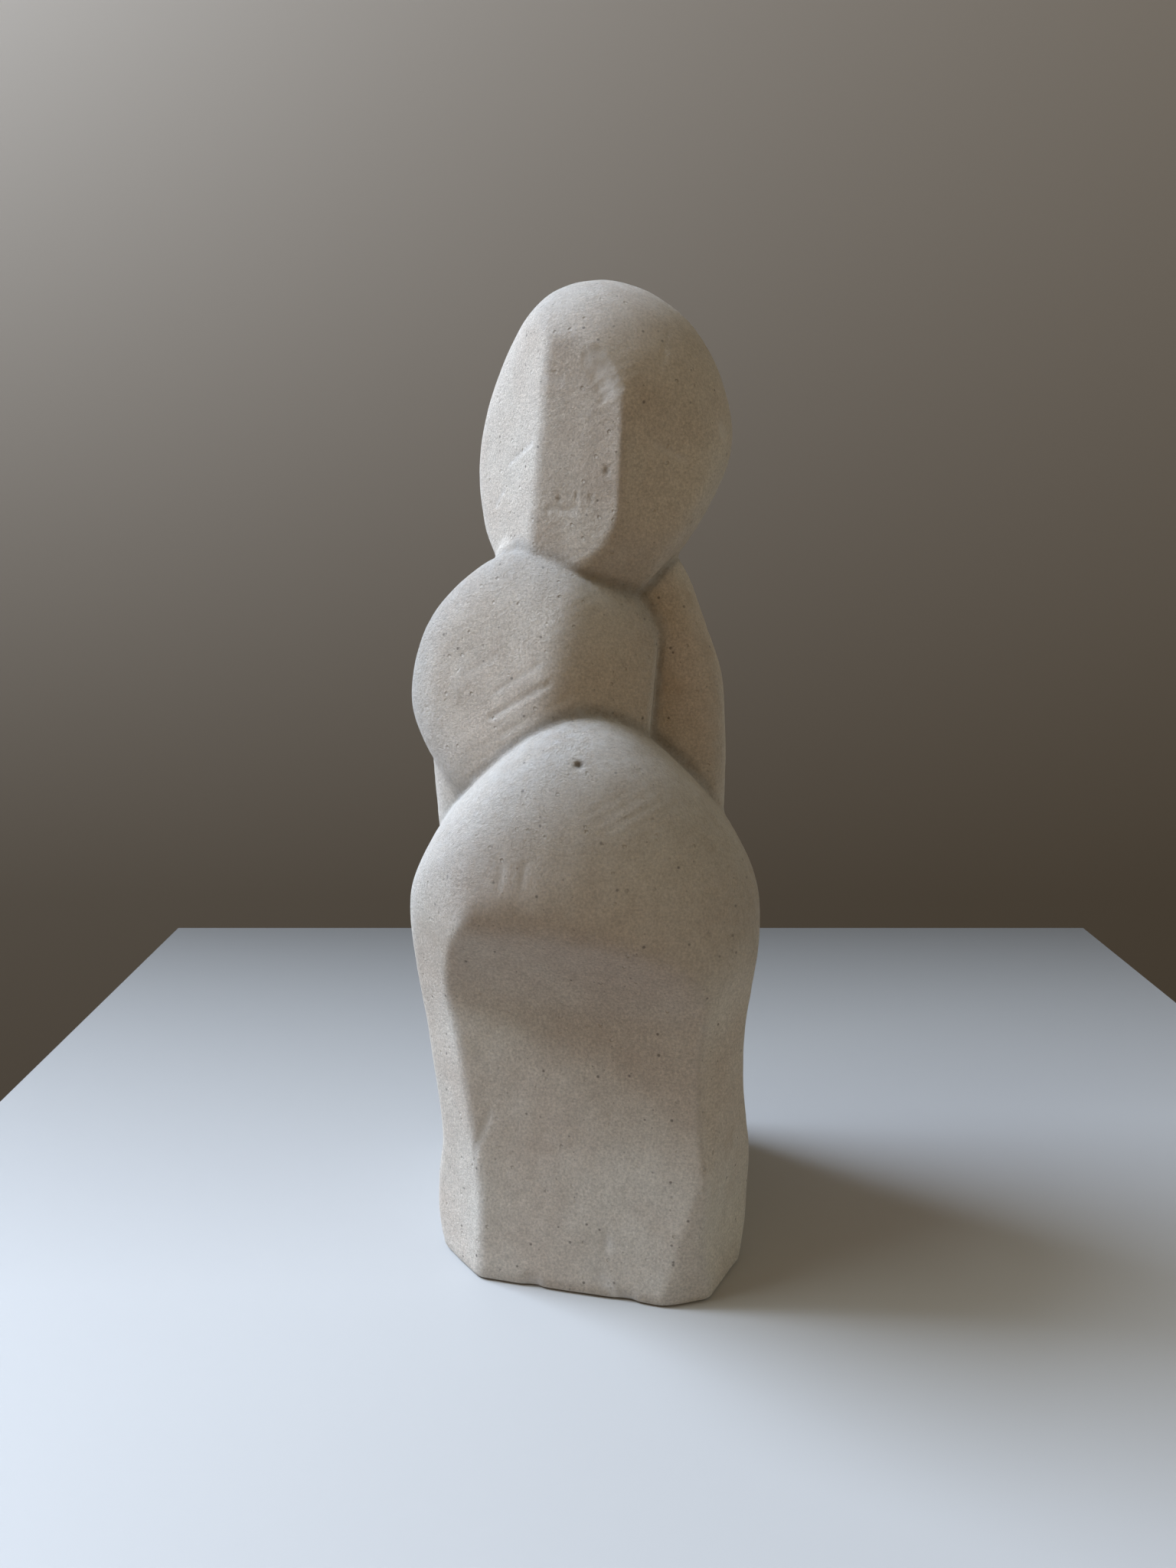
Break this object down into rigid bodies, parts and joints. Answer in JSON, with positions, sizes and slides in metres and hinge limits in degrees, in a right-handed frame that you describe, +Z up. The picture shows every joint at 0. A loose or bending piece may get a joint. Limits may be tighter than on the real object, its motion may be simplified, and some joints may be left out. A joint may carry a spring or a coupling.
{
  "type": "carved figure group",
  "caption": "Small abstract figure group carved from one block of pale stone, with a blank faceted head, a rounded breast mass and domed knees, standing on its own flat base.",
  "frame": {"origin": "middle of the bounding box's footprint, on the plane of the flat underside", "axes": "+Z up, -Y out of the front (the domed knees), +X to the viewer's right when facing the front"},
  "size_m": [0.1126, 0.1232, 0.316],
  "materials": {
    "stone": "matt, fine-grained and dry, rubbed smooth with faint rasp marks and small pits"
  },
  "bodies": {
    "root": {"figure": "stone"}
  },
  "joints": []
}
